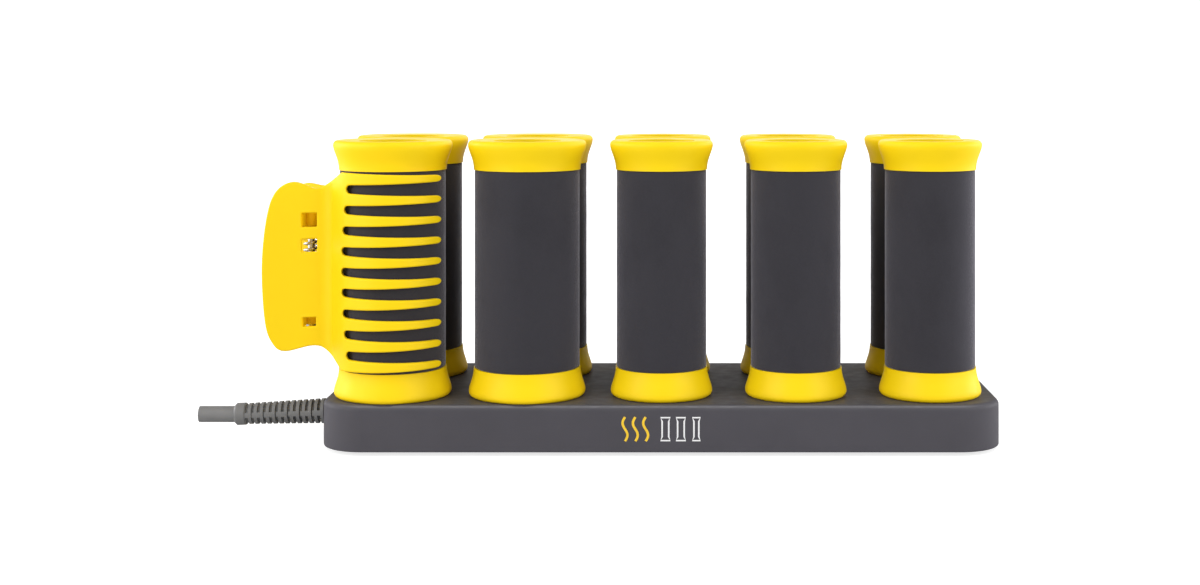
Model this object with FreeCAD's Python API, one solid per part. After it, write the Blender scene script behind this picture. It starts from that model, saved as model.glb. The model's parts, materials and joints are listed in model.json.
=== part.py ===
import FreeCAD, Part
import math
import os

# Heated roller set: two rows of rollers on heating posts, on a low mains-powered base.
# Frame, in mm: origin on the table at the middle of the base, +X right, +Y back, +Z up.

V = FreeCAD.Vector
UP = V(0, 0, 1)

# Layout of the rollers
COLUMNS = 5
LARGE_COLUMNS = 2            # the left-hand columns hold the large rollers
PITCH_X = 48.5
ROW_Y = 23.0                 # distance of each row from the middle
ROWS = {"front": -ROW_Y, "rear": ROW_Y}

# Base
BASE_W = 241.3
BASE_D = 88.2
BASE_LOW = 1.5               # the feet hold the case this far off the table
BASE_TOP = 18.0
BASE_CORNER_R = 16.0
BASE_EDGE_R = 2.0
BASE_FOOT_R = 0.6
WALL = 2.2
COVER_T = 2.0
COVER_GAP = 0.1
COVER_RIB_T = 1.6
COVER_RIBS_X = (-99.0, 108.0)
COVER_RIBS_Y = (-28, -12, 0, 12, 28)
VENTS = 19                   # vents in each row
VENT_PITCH = 9.0
VENT_W = 2.4
VENT_L = 10.0
VENT_Y = 20.0
FOOT_R = 6.0
FOOT_EDGE_R = 0.4
FOOT_SINK = 0.5
FOOT_X = 104.0
FOOT_Y = 31.0

# Screws that hold the cover to the bosses of the shell
BOSS_R = 3.2
BOSS_X = 1.5 * PITCH_X
BOSS_Y = 37.0
END_BOSS_X = 113.6
SCREW_R = 1.45
SCREW_HEAD_R = 2.8
SCREW_HEAD_H = 1.1
SCREW_SLOT_L = 3.2
SCREW_SLOT_W = 0.6
SCREW_SLOT_H = 0.6
COUNTERBORE = 1.2
SCREW_TOP = 11.5

# Rollers: heights are measured from the top of the base
ROLLER_H = 91.9
SLEEVE_LOW = 10.2
SLEEVE_HIGH = 81.3
LARGE_R = 18.9
SMALL_R = 16.2
SLEEVE_T = 0.9
FOOT_FLARE = 2.1             # how far each cap's widest edge stands out from the sleeve
RIM_FLARE = 2.4
NECK_OUT = 0.3               # how far each cap's neck stands out from the sleeve
FOOT_ROUND = 1.7
RIM_ROUND = 1.7
RIM_FLAT = 0.6               # level part of the rim, before it dips to the bore
RIM_DIP = 0.3
FLARE_HUG = 0.45             # share of a flare's height over which it keeps close to the sleeve
FLARE_LIP = 0.25             # share over which it runs out level with its widest edge
LIP_T = 2.5                  # the cap's lip that covers the core's end
CORE_WALL = 1.0
BORE_R = 12.2
BORE_WALL = 0.8
RIBS = 12
RIB_T = 0.8
FIT = 0.02                   # gap between parts that are pushed together

# Heating posts and what they hold
POST_R = 11.6
POST_WALL = 1.5
POST_TOP = 90.0
POST_EDGE_R = 5.0
POST_FLANGE_R = 13.5
POST_FLANGE_T = 2.0
COLLAR_R = 14.48
COLLAR_HOLE_R = 14.5
COLLAR_FLANGE_R = 16.3
COLLAR_FLANGE_T = 2.5
HEATER_LOW = 30.0
HEATER_HIGH = 74.0
HEATER_T = 9.0

# Inside the base
RIB_HIGH = 5.5
SHIELD_T = 0.5
WIRE_R = 1.0
SHIELD_X = (-72.0, 108.0)
SHIELD_D = 64.0
BUS_Z = 8.0
BRIDGE_Z = 10.2
FEEDS_X = (-81.0, -78.0)     # where the two supply wires leave the terminals
WIRE_SPREAD = 3.0            # each wire's distance from the line it follows
CUTOUT_X = (-66.0, -50.0)
CUTOUT_D = 9.0
CUTOUT_TOP = 12.5
TERMINAL_X = (-92.0, -76.0)
TERMINAL_D = 14.0
TERMINAL_TOP = 11.0
BARRIER_TOP = 13.0
BARRIER_T = 1.2

# Mains cord and strain relief
CORD_R = 2.95
CORD_Y = -10.0
CORD_Z = 9.75
CORD_SAG = 1.6
CORD_INNER_X = -107.5
CORD_BEND_X = -116.4         # outside of this the cord slopes down a little
CORD_END_X = -170.5
RELIEF_TIP_X = -157.4
RELIEF_ROOT_R = 4.65
RELIEF_TIP_R = 3.8
COLLAR_R = 4.05              # plain end of the relief
COLLAR_L = 4.0
COLLAR_EDGE = 0.9
RELIEF_SLOTS = 14
RELIEF_FIRST_SLOT = 2.15     # from the case's wall
RELIEF_SLOT_PITCH = 2.225
RELIEF_SLOT_W = 1.1
RELIEF_WEB = 1.9             # left at the front and back of each slot
GROOVE_R = 3.55              # floor of the grooves that join every second pair of slots
GROOVE_W = 0.5
RELIEF_NECK_R = 4.0
RELIEF_FLANGE_R = 5.4
RELIEF_FLANGE_T = 1.5
RELIEF_ROOM = 0.25           # the relief leans with the cord, so it needs room at the wall
CLAMP_X = (-115.6, -108.0)
CLAMP_Y = (-18.0, -3.6)
CLAMP_TOP = 11.2
CORE_SPREAD = 1.5            # each core's distance from the middle of the cord

# Switch in the rear wall
SWITCH_X = PITCH_X / 2
SWITCH_Z = (BASE_LOW + BASE_TOP) / 2
SWITCH_W = 12.6              # opening that the rocker moves in
SWITCH_H = 7.8
SWITCH_WALL = 1.1
BEZEL_T = 1.2
BEZEL_RIM = 1.2
BEZEL_EDGE_R = 0.6
SWITCH_DEPTH = 8.0
ROCKER_SINK = 2.6            # how far the axle is behind the wall's face
ROCKER_R = 6.2
ROCKER_BACK = 2.2
ROCKER_WAIST = 3.9           # from the axle to the middle of the rocker's face
ROCKER_SLOPE = 13.0          # of each half of that face
ROCKER_TILT = 7.0
ROCKER_PIN_R = 1.0
ROCKER_PIN_OUT = 0.9

# Claw clip on the left front roller, in a frame on that roller's axis
CLIP_T = 2.0
JAW_IN_R = 19.4
JAW_TIP_ANGLE = 22.0
JAW_ROOT_ANGLE = 140.0
NECK_SLOPE = 5.0             # straight stretch between the jaw's arc and the bend into the wing
NECK_R = 5.0                 # outer radius of that bend
WING_SPLAY = 20.0
WING_LENGTH = 24.0
JAW_MID_Z = 63.8
FINGERS = 10
FINGER_PITCH = 7.31
FINGER_TIP_W = 2.5
FINGER_ROOT_W = 4.3
FRONT_END_X = 19.0
REAR_END_X = 17.0            # the rear fingers are a little shorter
REAR_CREST_DROP = 1.8        # how much lower the rear wing's top is
JAW_SHOULDER_X = -16.0
HINGE_X = -29.5
PIN_R = 1.25
PIN_HEAD_R = 1.9
PIN_LOW = 42.2
PIN_HIGH = 85.8
PIN_HEAD_T = 1.2
KNUCKLE_R = 2.6
KNUCKLE_GAP = 0.05
LUG_W = 8.0
LUG_FRONT = 7.9              # from the hinge axis to just inside the wing's sheet
LUG_BACK = 0.6
FRONT_KNUCKLES = [(81.7, 5.6, 5.0), (45.4, 3.8, 4.4)]   # middle height, length, window width
REAR_KNUCKLES = [(76.9, 3.8, 4.4), (49.4, 3.8, 4.4)]
WINDOW_X = -28.3
WINDOW_SHORT = 0.3           # how much a window stops short of its knuckle at each end
SPRING_WINDOW = (70.3, 74.9)
SPRING_WINDOW_W = 5.2
SLOT_ROOT_X = -15.9          # root of the middle slots; the outer ones are shorter
SLOT_ROOT_BOW = 2.1
SPRING_LOW = 57.0
SPRING_WIRE_R = 0.5
SPRING_R = 2.45
SPRING_PITCH = 2.3
SPRING_WINDINGS = 7
SPRING_LEAN = 20.0           # how much more than a wing each leg of the spring leans out
SPRING_LEG = 13.2


def box(x0, x1, y0, y1, z0, z1):
    return Part.makeBox(x1 - x0, y1 - y0, z1 - z0, V(x0, y0, z0))


def post(x, y, z0, z1, r):
    return Part.makeCylinder(r, z1 - z0, V(x, y, z0))


def ring(x, y, z0, z1, r_out, r_in):
    return post(x, y, z0, z1, r_out).cut(post(x, y, z0, z1, r_in))


def fuse(shapes):
    return shapes[0].multiFuse(shapes[1:]).removeSplitter()


def face(edges):
    return Part.Face(Part.Wire(edges))


def line(a, b):
    return Part.LineSegment(a, b).toShape()


def arc(a, mid, b):
    return Part.Arc(a, mid, b).toShape()


def rounded_plate(w, d, z0, z1, r):
    plate = box(-w / 2, w / 2, -d / 2, d / 2, z0, z1)
    corners = [e for e in plate.Edges if abs(e.tangentAt(0).z) > 0.99]
    return plate.makeFillet(r, corners)


def wire_run(points, r):
    """A round wire with ball-shaped bends, through the given points."""
    parts = [Part.makeCylinder(r, (b - a).Length, a, b - a) for a, b in zip(points, points[1:])]
    parts += [Part.makeSphere(r, p) for p in points[1:-1]]
    return fuse(parts)


def save(name, shapes):
    Part.makeCompound(shapes).exportStep("parts/%s.step" % name)


def column_x(column):
    return (column - (COLUMNS - 1) / 2) * PITCH_X


def post_places():
    return [(column_x(i), y) for y in ROWS.values() for i in range(COLUMNS)]


# ---------------------------------------------------------------- rollers

def turned(edges):
    """The solid that a closed outline in the XZ plane makes about Z."""
    return face(edges).revolve(V(0, 0, 0), UP, 360)


def flare(neck, widest):
    """The S-shaped side of a cap, upright at its neck and at its widest edge."""
    rise = widest.z - neck.z
    hug, lip = V(0, 0, FLARE_HUG * rise), V(0, 0, FLARE_LIP * rise)
    curve = Part.BezierCurve()
    curve.setPoles([neck, neck + hug, widest - lip, widest])
    return curve.toShape()


def bottom_cap(sleeve_r):
    """A flared foot ring, widest just above its rounded lower edge."""
    core_r = sleeve_r - SLEEVE_T + FIT
    wide = sleeve_r + FOOT_FLARE
    neck = sleeve_r + NECK_OUT
    turn = FOOT_ROUND * (1 - math.sqrt(0.5))
    p = [V(BORE_R, 0, 0), V(wide - FOOT_ROUND, 0, 0), V(wide, 0, FOOT_ROUND), V(neck, 0, SLEEVE_LOW)]
    q = [V(core_r, 0, SLEEVE_LOW), V(core_r, 0, LIP_T), V(BORE_R, 0, LIP_T)]
    return turned([
        line(p[0], p[1]),
        arc(p[1], V(wide - turn, 0, turn), p[2]),
        flare(p[3], p[2]),
        line(p[3], q[0]),
        line(q[0], q[1]),
        line(q[1], q[2]),
        line(q[2], p[0]),
    ])


def top_cap(sleeve_r):
    """A trumpet-shaped ring with a rounded rim that dips slightly to the bore."""
    core_r = sleeve_r - SLEEVE_T + FIT
    neck = sleeve_r + NECK_OUT
    wide = sleeve_r + RIM_FLARE
    edge = wide - RIM_ROUND
    turn = RIM_ROUND * (1 - math.sqrt(0.5))
    low, high = SLEEVE_HIGH, ROLLER_H
    p = [V(core_r, 0, low), V(neck, 0, low), V(wide, 0, high - RIM_ROUND)]
    q = [V(edge, 0, high), V(edge - RIM_FLAT, 0, high), V(BORE_R, 0, high - RIM_DIP)]
    r = [V(BORE_R, 0, high - LIP_T), V(core_r, 0, high - LIP_T)]
    return turned([
        line(p[0], p[1]),
        flare(p[1], p[2]),
        arc(p[2], V(wide - turn, 0, high - turn), q[0]),
        line(q[0], q[1]),
        line(q[1], q[2]),
        line(q[2], r[0]),
        line(r[0], r[1]),
        line(r[1], p[0]),
    ])


def core(sleeve_r):
    """An extruded metal tube: an outer skin, an inner bore and ribs between them."""
    outer = sleeve_r - SLEEVE_T
    low, high = LIP_T, ROLLER_H - LIP_T
    skin = ring(0, 0, low, high, outer, outer - CORE_WALL)
    bore = ring(0, 0, low, high, BORE_R + BORE_WALL, BORE_R)
    inside, outside = BORE_R + BORE_WALL / 2, outer - CORE_WALL / 2
    rib = box(inside, outside, -RIB_T / 2, RIB_T / 2, low, high)
    ribs = []
    for i in range(RIBS):
        turned_rib = rib.copy()
        turned_rib.rotate(V(0, 0, 0), UP, 360 * i / RIBS)
        ribs.append(turned_rib)
    return fuse([skin, bore] + ribs)


def sleeve(sleeve_r):
    return ring(0, 0, SLEEVE_LOW, SLEEVE_HIGH, sleeve_r, sleeve_r - SLEEVE_T + FIT)


def make_rollers():
    makers = {"core": core, "sleeve": sleeve, "top_cap": top_cap, "bottom_cap": bottom_cap}
    for piece, maker in makers.items():
        sizes = {"large": maker(LARGE_R), "small": maker(SMALL_R)}
        for row, y in ROWS.items():
            for i in range(COLUMNS):
                shape = sizes["large" if i < LARGE_COLUMNS else "small"].copy()
                shape.translate(V(column_x(i), y, BASE_TOP))
                save("roller_%s_%d_%s" % (row, i + 1, piece), [shape])


# ---------------------------------------------------------------- claw clip

def polar(r, angle):
    """A point at this radius; angle 0 is +X and 90 is the front, -Y."""
    a = math.radians(angle)
    return V(r * math.cos(a), -r * math.sin(a), 0)


def wing_frame():
    """Directions along the front wing and out of its front face."""
    a = math.radians(WING_SPLAY)
    return V(-math.cos(a), -math.sin(a), 0), V(math.sin(a), -math.cos(a), 0)


def jaw_section():
    """The front jaw from above: an arc round the roller, a slope, a reverse bend, a wing."""
    along, front = wing_frame()
    r_in, r_out = JAW_IN_R, JAW_IN_R + CLIP_T
    spoke = polar(1, JAW_ROOT_ANGLE)
    slope = V(spoke.y, -spoke.x, 0)
    root_out, root_in = spoke * r_out, spoke * r_in
    leave_out, leave_in = root_out + slope * NECK_SLOPE, root_in + slope * NECK_SLOPE
    bend = leave_out + spoke * NECK_R
    middle = (spoke + front) * (-1 / (spoke + front).Length)
    mid_angle = (JAW_TIP_ANGLE + JAW_ROOT_ANGLE) / 2
    inner_bend = NECK_R + CLIP_T
    near, far = bend - front * NECK_R, bend - front * inner_bend
    end_out, end_in = near + along * WING_LENGTH, far + along * WING_LENGTH
    tip_out, tip_in = polar(r_out, JAW_TIP_ANGLE), polar(r_in, JAW_TIP_ANGLE)
    return face([
        arc(tip_out, polar(r_out, mid_angle), root_out),
        line(root_out, leave_out),
        arc(leave_out, bend + middle * NECK_R, near),
        line(near, end_out),
        line(end_out, end_in),
        line(end_in, far),
        arc(far, bend + middle * inner_bend, leave_in),
        line(leave_in, root_in),
        arc(root_in, polar(r_in, mid_angle), tip_in),
        line(tip_in, tip_out),
    ])


def elevation(edges):
    """A prism through the whole clip in Y, from an outline in the XZ plane."""
    prism = face(edges).extrude(V(0, 60, 0))
    prism.translate(V(0, -30, 0))
    return prism


def jaw_outline(end_x, crest_drop):
    """The clip from the front: the jaw's height on the right, a rounded wing on the left."""
    top = JAW_MID_Z + (FINGERS - 1) / 2 * FINGER_PITCH
    low = 2 * JAW_MID_Z - top
    half_tip, half_root = FINGER_TIP_W / 2, FINGER_ROOT_W / 2
    tip_x, root_x = end_x - half_tip, JAW_SHOULDER_X
    tip_turn = half_tip * math.sqrt(0.5)
    upper = [V(root_x, 0, top + half_root), V(-22.6, 0, 94.2), V(-26.2, 0, 92.9)]
    upper += [V(-33.6, 0, 95.4 - crest_drop), V(-39.4, 0, 91.9 - crest_drop)]
    upper += [V(-42.4, 0, 82.6), V(-43.9, 0, 65.5)]
    lower = [V(-43.9, 0, 65.5), V(-42.9, 0, 46.3), V(-40.4, 0, 38.4), V(-36.4, 0, 35.4)]
    lower += [V(-27.2, 0, 36.9), V(-22.3, 0, 35.1), V(root_x, 0, low - half_root)]
    wing = Part.BSplineCurve()
    wing.interpolate(upper + lower[1:])
    tip_top, tip_low = V(tip_x, 0, top + half_tip), V(tip_x, 0, low - half_tip)
    end_top, end_low = V(end_x, 0, top), V(end_x, 0, low)
    return elevation([
        wing.toShape(),
        line(lower[-1], tip_low),
        arc(tip_low, V(tip_x + tip_turn, 0, low - tip_turn), end_low),
        line(end_low, end_top),
        arc(end_top, V(tip_x + tip_turn, 0, top + tip_turn), tip_top),
        line(tip_top, upper[0]),
    ])


def finger_slot(index, end_x):
    """The gap between two fingers: a round root on the left, wider at the round tips."""
    low = JAW_MID_Z + (index - (FINGERS - 1) / 2) * FINGER_PITCH
    high = low + FINGER_PITCH
    mid = (low + high) / 2
    spread = (index - (FINGERS - 2) / 2) / ((FINGERS - 2) / 2)
    half = (FINGER_PITCH - FINGER_ROOT_W) / 2
    root_x = SLOT_ROOT_X + SLOT_ROOT_BOW * spread ** 2 + half
    tip_r = FINGER_TIP_W / 2
    tip_x = end_x - tip_r
    turn = tip_r * math.sqrt(0.5)
    beyond = end_x + 5
    a = [V(root_x, 0, mid - half), V(tip_x, 0, low + tip_r), V(end_x, 0, low)]
    b = [V(root_x, 0, mid + half), V(tip_x, 0, high - tip_r), V(end_x, 0, high)]
    return elevation([
        arc(b[0], V(root_x - half, 0, mid), a[0]),
        line(a[0], a[1]),
        arc(a[1], V(tip_x + turn, 0, low + turn), a[2]),
        line(a[2], V(beyond, 0, low)),
        line(V(beyond, 0, low), V(beyond, 0, high)),
        line(V(beyond, 0, high), b[2]),
        arc(b[2], V(tip_x + turn, 0, high - turn), b[1]),
        line(b[1], b[0]),
    ])


def plain_jaw(end_x, crest_drop):
    jaw = jaw_section().extrude(V(0, 0, 80))
    jaw.translate(V(0, 0, 25))
    jaw = jaw.common(jaw_outline(end_x, crest_drop))
    for i in range(FINGERS - 1):
        jaw = jaw.cut(finger_slot(i, end_x))
    return jaw


def behind_wing(z0, z1):
    """The space between the hinge axis and the wing's sheet."""
    block = box(-WING_LENGTH, WING_LENGTH, -LUG_FRONT, -LUG_BACK, z0, z1)
    block.rotate(V(0, 0, 0), UP, WING_SPLAY)
    block.translate(V(HINGE_X, 0, 0))
    return block


def at_window(width, z0, z1):
    """A block that runs straight back through the wing to the hinge, where the windows are."""
    return box(WINDOW_X - width / 2, WINDOW_X + width / 2, -30, -LUG_BACK, z0, z1)


def add_knuckle(jaw, z, height, window):
    """A pierced barrel held by a lug, with a moulding window in front of it."""
    low, high = z - height / 2, z + height / 2
    lug = at_window(LUG_W, low, high).common(behind_wing(low, high))
    pocket = at_window(window, low + WINDOW_SHORT, high - WINDOW_SHORT)
    barrel = post(HINGE_X, 0, low, high, KNUCKLE_R)
    bore = post(HINGE_X, 0, low - 1, high + 1, PIN_R + KNUCKLE_GAP)
    return jaw.fuse(lug).cut(pocket).fuse(barrel).cut(bore).removeSplitter()


def front_jaw():
    jaw = plain_jaw(FRONT_END_X, 0)
    for knuckle in FRONT_KNUCKLES:
        jaw = add_knuckle(jaw, *knuckle)
    return jaw.cut(at_window(SPRING_WINDOW_W, *SPRING_WINDOW))


def rear_jaw():
    jaw = plain_jaw(REAR_END_X, REAR_CREST_DROP)
    for knuckle in REAR_KNUCKLES:
        jaw = add_knuckle(jaw, *knuckle)
    return jaw.mirror(V(0, 0, 0), V(0, 1, 0))


def hinge_pin():
    shank = post(HINGE_X, 0, PIN_LOW, PIN_HIGH, PIN_R)
    low_head = post(HINGE_X, 0, PIN_LOW, PIN_LOW + PIN_HEAD_T, PIN_HEAD_R)
    high_head = post(HINGE_X, 0, PIN_HIGH - PIN_HEAD_T, PIN_HIGH, PIN_HEAD_R)
    return fuse([shank, low_head, high_head])


def spring_leg(z, side):
    """A straight end of the spring wire, leaning out to press on one wing."""
    a = math.radians(WING_SPLAY + SPRING_LEAN)
    along = V(-math.cos(a), side * math.sin(a), 0)
    out = V(math.sin(a), side * math.cos(a), 0)
    start = V(HINGE_X, 0, z) + out * SPRING_R
    leg = Part.makeCylinder(SPRING_WIRE_R, SPRING_LEG, start, along)
    return leg.fuse(Part.makeSphere(SPRING_WIRE_R, start))


def clip_spring():
    """A torsion spring: its low leg lies along the front wing and its high leg along the rear."""
    lead = 90 - WING_SPLAY - SPRING_LEAN
    height = SPRING_PITCH * (SPRING_WINDINGS + 2 * lead / 360)
    helix = Part.makeHelix(SPRING_PITCH, height, SPRING_R)
    start = helix.Edges[0].valueAt(helix.Edges[0].FirstParameter)
    wire_end = Part.makeCircle(SPRING_WIRE_R, start, V(0, 1, 0))
    coil = Part.Wire(helix).makePipeShell([Part.Wire(wire_end)], True, True)
    coil.rotate(V(0, 0, 0), UP, -lead)
    coil.translate(V(HINGE_X, 0, SPRING_LOW))
    legs = [spring_leg(SPRING_LOW, -1), spring_leg(SPRING_LOW + height, 1)]
    return coil.fuse(legs[0]).fuse(legs[1])


def place_clip(shape):
    shape = shape.copy()
    shape.translate(V(column_x(0), ROWS["front"], 0))
    return shape


def make_clip():
    save("clip_front_jaw", [place_clip(front_jaw())])
    save("clip_rear_jaw", [place_clip(rear_jaw())])
    save("clip_hinge_pin", [place_clip(hinge_pin())])
    save("clip_spring", [place_clip(clip_spring())])


# ---------------------------------------------------------------- base

def screw_places():
    sides = [(x, y) for x in (-BOSS_X, BOSS_X) for y in (-BOSS_Y, BOSS_Y)]
    return sides + [(-END_BOSS_X, 0), (END_BOSS_X, 0)]


def cord_axis():
    """Where the sagging stretch of the cord starts and which way it runs."""
    start = V(CORD_BEND_X, CORD_Y, CORD_Z)
    end = V(RELIEF_TIP_X, CORD_Y, CORD_Z - CORD_SAG)
    return start, end - start


def upper_shell():
    shell = rounded_plate(BASE_W, BASE_D, BASE_LOW, BASE_TOP, BASE_CORNER_R)
    rim = [e for e in shell.Edges if e.BoundBox.ZMin > BASE_TOP - 0.01]
    shell = shell.makeFillet(BASE_EDGE_R, rim)
    foot = [e for e in shell.Edges if e.BoundBox.ZMax < BASE_LOW + 0.01]
    shell = shell.makeFillet(BASE_FOOT_R, foot)
    ceiling = BASE_TOP - WALL
    inside = rounded_plate(
        BASE_W - 2 * WALL, BASE_D - 2 * WALL, BASE_LOW - 1, ceiling, BASE_CORNER_R - WALL
    )
    shell = shell.cut(inside)
    floor = BASE_LOW + COVER_T
    for x, y in screw_places():
        shell = shell.fuse(post(x, y, floor, ceiling + 0.5, BOSS_R))
        shell = shell.cut(post(x, y, 0, SCREW_TOP + 1, SCREW_R + FIT))
    for x, y in post_places():
        shell = shell.cut(post(x, y, ceiling - 1, BASE_TOP + 1, COLLAR_HOLE_R))
    start, along = cord_axis()
    shell = shell.cut(Part.makeCylinder(RELIEF_NECK_R + 0.1, 4 * WALL, start, along))
    return shell.cut(switch_block(SWITCH_WALL + 0.1, WALL + 1, 1)).removeSplitter()


def foot_places():
    corners = [(x, y) for x in (-FOOT_X, FOOT_X) for y in (-FOOT_Y, FOOT_Y)]
    return corners + [(0, 0)]


def bottom_cover():
    inset = 2 * (WALL + COVER_GAP)
    floor = BASE_LOW + COVER_T
    cover = rounded_plate(
        BASE_W - inset, BASE_D - inset, BASE_LOW, floor, BASE_CORNER_R - WALL - COVER_GAP
    )
    for y in COVER_RIBS_Y:
        near, far = y - COVER_RIB_T / 2, y + COVER_RIB_T / 2
        cover = cover.fuse(box(*COVER_RIBS_X, near, far, floor - 0.5, RIB_HIGH))
    for x, y in screw_places():
        cover = cover.cut(post(x, y, 0, floor + 1, SCREW_R + 0.2))
        cover = cover.cut(post(x, y, 0, BASE_LOW + COUNTERBORE, SCREW_HEAD_R + 0.2))
    for x, y in foot_places():
        cover = cover.cut(post(x, y, 0, BASE_LOW + FOOT_SINK, FOOT_R + 0.05))
    for i in range(VENTS):
        x = (i - (VENTS - 1) / 2) * VENT_PITCH
        for y in (-VENT_Y, VENT_Y):
            near, far = y - VENT_L / 2, y + VENT_L / 2
            cover = cover.cut(box(x - VENT_W / 2, x + VENT_W / 2, near, far, 0, floor + 1))
    return cover.removeSplitter()


def rubber_feet():
    feet = []
    for x, y in foot_places():
        foot = post(x, y, 0, BASE_LOW + FOOT_SINK, FOOT_R)
        edge = [e for e in foot.Edges if e.BoundBox.ZMax < 0.01]
        feet.append(foot.makeFillet(FOOT_EDGE_R, edge))
    return feet


def case_screw():
    """A cross-headed screw, driven up from below."""
    seat = BASE_LOW + COUNTERBORE
    head = post(0, 0, seat - SCREW_HEAD_H, seat, SCREW_HEAD_R)
    shank = post(0, 0, seat - SCREW_HEAD_H / 2, SCREW_TOP, SCREW_R)
    long, short = SCREW_SLOT_L / 2, SCREW_SLOT_W / 2
    slot_top = seat - SCREW_HEAD_H + SCREW_SLOT_H
    cross = box(-long, long, -short, short, 0, slot_top)
    cross = cross.fuse(box(-short, short, -long, long, 0, slot_top))
    return fuse([head, shank]).cut(cross)


def heating_post():
    """A closed metal thimble with a flange that is trapped under the case."""
    collar_low = BASE_TOP - WALL - COLLAR_FLANGE_T
    low = collar_low - POST_FLANGE_T
    outer = post(0, 0, low, POST_TOP, POST_R)
    crown = [e for e in outer.Edges if e.BoundBox.ZMin > POST_TOP - 0.01]
    outer = outer.makeFillet(POST_EDGE_R, crown)
    inner = post(0, 0, low - 1, POST_TOP - POST_WALL, POST_R - POST_WALL)
    roof = [e for e in inner.Edges if e.BoundBox.ZMin > POST_TOP - POST_WALL - 0.01]
    inner = inner.makeFillet(POST_EDGE_R - POST_WALL, roof)
    flange = post(0, 0, low, collar_low, POST_FLANGE_R)
    return outer.fuse(flange).cut(inner).removeSplitter()


def post_collar():
    """A heat-proof ring that keeps the hot post away from the case."""
    ceiling = BASE_TOP - WALL
    plug = ring(0, 0, ceiling - COLLAR_FLANGE_T, BASE_TOP, COLLAR_R, POST_R + FIT)
    flange = ring(0, 0, ceiling - COLLAR_FLANGE_T, ceiling, COLLAR_FLANGE_R, POST_R + FIT)
    return plug.fuse(flange).removeSplitter()


def post_heater():
    """A flat-sided heating cartridge that touches the post along two curved sides."""
    r = POST_R - POST_WALL - FIT
    bar = post(0, 0, HEATER_LOW, HEATER_HIGH, r)
    return bar.common(box(-r, r, -HEATER_T / 2, HEATER_T / 2, HEATER_LOW, HEATER_HIGH))


def copies(shape, places):
    made = []
    for x, y in places:
        copy = shape.copy()
        copy.translate(V(x, y, 0))
        made.append(copy)
    return made


def heat_shield():
    return box(*SHIELD_X, -SHIELD_D / 2, SHIELD_D / 2, RIB_HIGH, RIB_HIGH + SHIELD_T)


def bus(y, feed_x, feed_z):
    """One supply wire under a row, with a riser to each heater and a feed to the terminals."""
    toward = -1 if y < 0 else 1
    runs = [wire_run([V(column_x(0), y, BUS_Z), V(column_x(COLUMNS - 1), y, BUS_Z)], WIRE_R)]
    for i in range(COLUMNS):
        x = column_x(i)
        runs.append(Part.makeSphere(WIRE_R, V(x, y, BUS_Z)))
        runs.append(post(x, y, BUS_Z, HEATER_LOW, WIRE_R))
    feed = [V(feed_x, toward * TERMINAL_D / 2, feed_z), V(feed_x, y, feed_z)]
    runs.append(wire_run(feed, WIRE_R))
    runs.append(Part.makeSphere(WIRE_R, feed[1]))
    if feed_z > BUS_Z:
        runs.append(post(feed_x, y, BUS_Z, feed_z, WIRE_R))
    return fuse(runs)


def level_wire(places, z):
    return wire_run([V(x, y, z) for x, y in places], WIRE_R)


def wiring_harness():
    wires = []
    for row_y in ROWS.values():
        toward = -1 if row_y < 0 else 1
        wires.append(bus(row_y - toward * WIRE_SPREAD, FEEDS_X[0], BUS_Z))
        wires.append(bus(row_y + toward * WIRE_SPREAD, FEEDS_X[1], BRIDGE_Z))
    for side in (-1, 1):
        y = side * WIRE_SPREAD
        core_y = CORD_Y + side * CORE_SPREAD
        ends = (CORD_INNER_X + 3.5, core_y), (TERMINAL_X[0] - WIRE_SPREAD, y)
        wires.append(level_wire([(CORD_INNER_X, core_y), *ends, (TERMINAL_X[0], y)], CORD_Z))
        wires.append(level_wire([(TERMINAL_X[1], y), (CUTOUT_X[0], y)], CORD_Z))
        x = SWITCH_X - y
        switch_back = BASE_D / 2 - SWITCH_DEPTH
        wires.append(level_wire([(CUTOUT_X[1], y), (x, y), (x, switch_back)], BRIDGE_Z))
    return wires


def thermal_cutout():
    body = box(*CUTOUT_X, -CUTOUT_D / 2, CUTOUT_D / 2, RIB_HIGH + SHIELD_T, CUTOUT_TOP)
    upright = [e for e in body.Edges if abs(e.tangentAt(0).z) > 0.99]
    return body.makeFillet(2.0, upright)


def terminal_block():
    """Two ways: barriers keep them apart, and each way has a screw at both ends."""
    low, high = TERMINAL_X
    half = TERMINAL_D / 2
    parts = [box(low, high, -half, half, RIB_HIGH, TERMINAL_TOP)]
    for y in (-half, -BARRIER_T / 2, half - BARRIER_T):
        parts.append(box(low, high, y, y + BARRIER_T, TERMINAL_TOP - 0.5, BARRIER_TOP))
    for x in (low + 4, high - 4):
        for y in (-half / 2 + 0.3, half / 2 - 0.3):
            parts.append(post(x, y, TERMINAL_TOP - 0.5, TERMINAL_TOP + 1, 1.8))
    return fuse(parts)


def cord_clamp():
    """A cradle that the cord snaps into from above."""
    floor = BASE_LOW + COVER_T
    block = box(*CLAMP_X, *CLAMP_Y, floor, CLAMP_TOP)
    ends = [e for e in block.Edges if abs(e.tangentAt(0).x) > 0.99 and e.BoundBox.ZMin > floor]
    block = block.makeFillet(1.5, ends)
    bore = Part.makeCylinder(CORD_R + FIT, 20, V(CLAMP_X[0] - 1, CORD_Y, CORD_Z), V(1, 0, 0))
    return block.cut(bore)


def power_cord():
    start, along = cord_axis()
    tip = start + along
    inner, end = V(CORD_INNER_X, CORD_Y, CORD_Z), V(CORD_END_X, CORD_Y, tip.z)
    return wire_run([inner, start, tip, end], CORD_R)


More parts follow.
